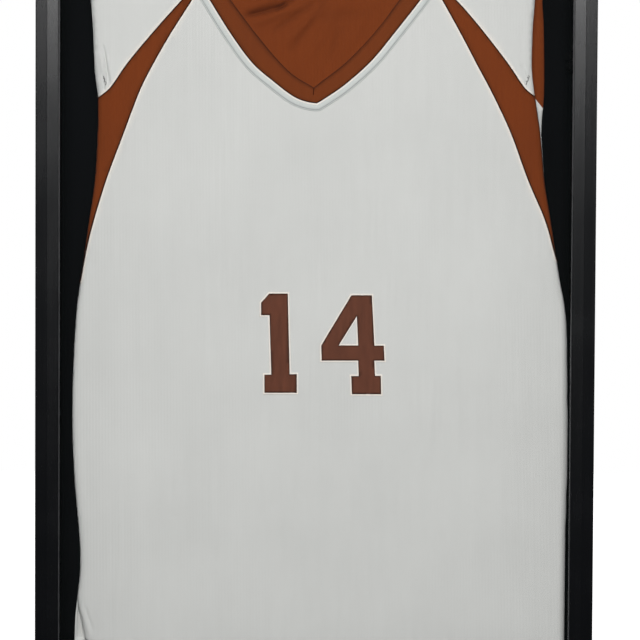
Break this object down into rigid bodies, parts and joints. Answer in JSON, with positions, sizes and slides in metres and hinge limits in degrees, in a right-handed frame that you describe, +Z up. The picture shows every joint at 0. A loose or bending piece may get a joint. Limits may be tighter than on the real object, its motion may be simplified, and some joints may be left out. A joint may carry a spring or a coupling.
{
  "type": "jersey display frame",
  "caption": "Wall-hung black display case with a hinged, clear-glazed door, a cam lock and hanging rings, showing a sports jersey on a dark lining.",
  "frame": {"origin": "on the wall plane that the rear bumpers rest on, behind the centre of the frame", "axes": "+Z up along the frame's height, +Y into the wall, so the door faces -Y; +X to the right as seen from the front"},
  "size_m": [0.6, 0.054, 0.8],
  "materials": {
    "black_rail": "satin black lacquer",
    "back_panel": "plain hardboard",
    "backing_board": "matt",
    "velvet": "short velvet pile",
    "acrylic": "clear, polished",
    "glazing_strip": "matt",
    "foam_seal": "matt foam",
    "hinge_steel": "satin nickel",
    "screw_steel": "zinc plated",
    "lock_chrome": "polished",
    "zinc_steel": "zinc plated",
    "black_steel": "matt black",
    "magnet": "nickel plated",
    "rod_aluminium": "satin anodised",
    "socket_plastic": "matt",
    "bumper_rubber": "matt",
    "ring_wire": "zinc plated",
    "jersey_white": "fine ribbed knit",
    "jersey_back": "fine ribbed knit, brown inside",
    "jersey_brown": "fine ribbed knit",
    "collar_brown": "rib knit",
    "piping_white": "folded tape",
    "numeral_brown": "twill applique",
    "tack_thread": "twisted sewing thread"
  },
  "bodies": {
    "case": {"case_rail_bottom": "black_rail", "case_rail_left": "black_rail", "case_rail_top": "black_rail", "case_rail_right": "black_rail", "back_panel": "back_panel", "backing_board": "backing_board", "velvet_lining": "velvet", "dust_seals": "foam_seal", "hinge_case_leaves": "hinge_steel", "hinge_pins": "hinge_steel", "hinge_case_screws": "screw_steel", "turn_button_screws": "screw_steel", "hanging_strap_screws": "screw_steel", "lock_barrel": "lock_chrome", "turn_buttons": "zinc_steel", "hanging_straps": "zinc_steel", "lock_nut": "black_steel", "catch_magnets": "magnet", "hanging_rod": "rod_aluminium", "rod_sockets": "socket_plastic", "wall_bumpers": "bumper_rubber", "jersey_front": "jersey_white", "jersey_sleeve_left": "jersey_white", "jersey_sleeve_right": "jersey_white", "jersey_back": "jersey_back", "jersey_insert_left": "jersey_brown", "jersey_insert_right": "jersey_brown", "collar_band": "collar_brown", "collar_piping": "piping_white", "numeral_one": "numeral_brown", "numeral_four": "numeral_brown", "thread_tacks": "tack_thread"},
    "door": {"door_rail_bottom": "black_rail", "door_rail_left": "black_rail", "door_rail_top": "black_rail", "door_rail_right": "black_rail", "acrylic_pane": "acrylic", "glazing_strip_bottom": "glazing_strip", "glazing_strip_left": "glazing_strip", "glazing_strip_top": "glazing_strip", "glazing_strip_right": "glazing_strip", "hinge_door_leaves": "hinge_steel", "hinge_door_screws": "screw_steel", "lock_keeper": "black_steel", "keeper_screws": "black_steel", "catch_strikes": "zinc_steel"},
    "lock": {"lock_plug": "lock_chrome", "lock_cam": "black_steel", "cam_screw": "black_steel"},
    "ring_left": {"hanging_ring_left": "ring_wire"},
    "ring_right": {"hanging_ring_right": "ring_wire"}
  },
  "joints": [
    {"name": "door_hinge", "type": "hinge", "parent": "case", "child": "door", "pos_m": [-0.2945, -0.037, 0], "axis": [0, 0, -1], "range_deg": [0, 120]},
    {"name": "lock_turn", "type": "hinge", "parent": "case", "child": "lock", "pos_m": [0.283, -0.022, 0.25], "axis": [-1, 0, 0], "range_deg": [0, 90]},
    {"name": "ring_left_swing", "type": "hinge", "parent": "case", "child": "ring_left", "pos_m": [-0.287, -0.0019, 0.31], "axis": [1, 0, 0], "range_deg": [0, 175]},
    {"name": "ring_right_swing", "type": "hinge", "parent": "case", "child": "ring_right", "pos_m": [0.287, -0.0019, 0.31], "axis": [1, 0, 0], "range_deg": [0, 175]}
  ]
}
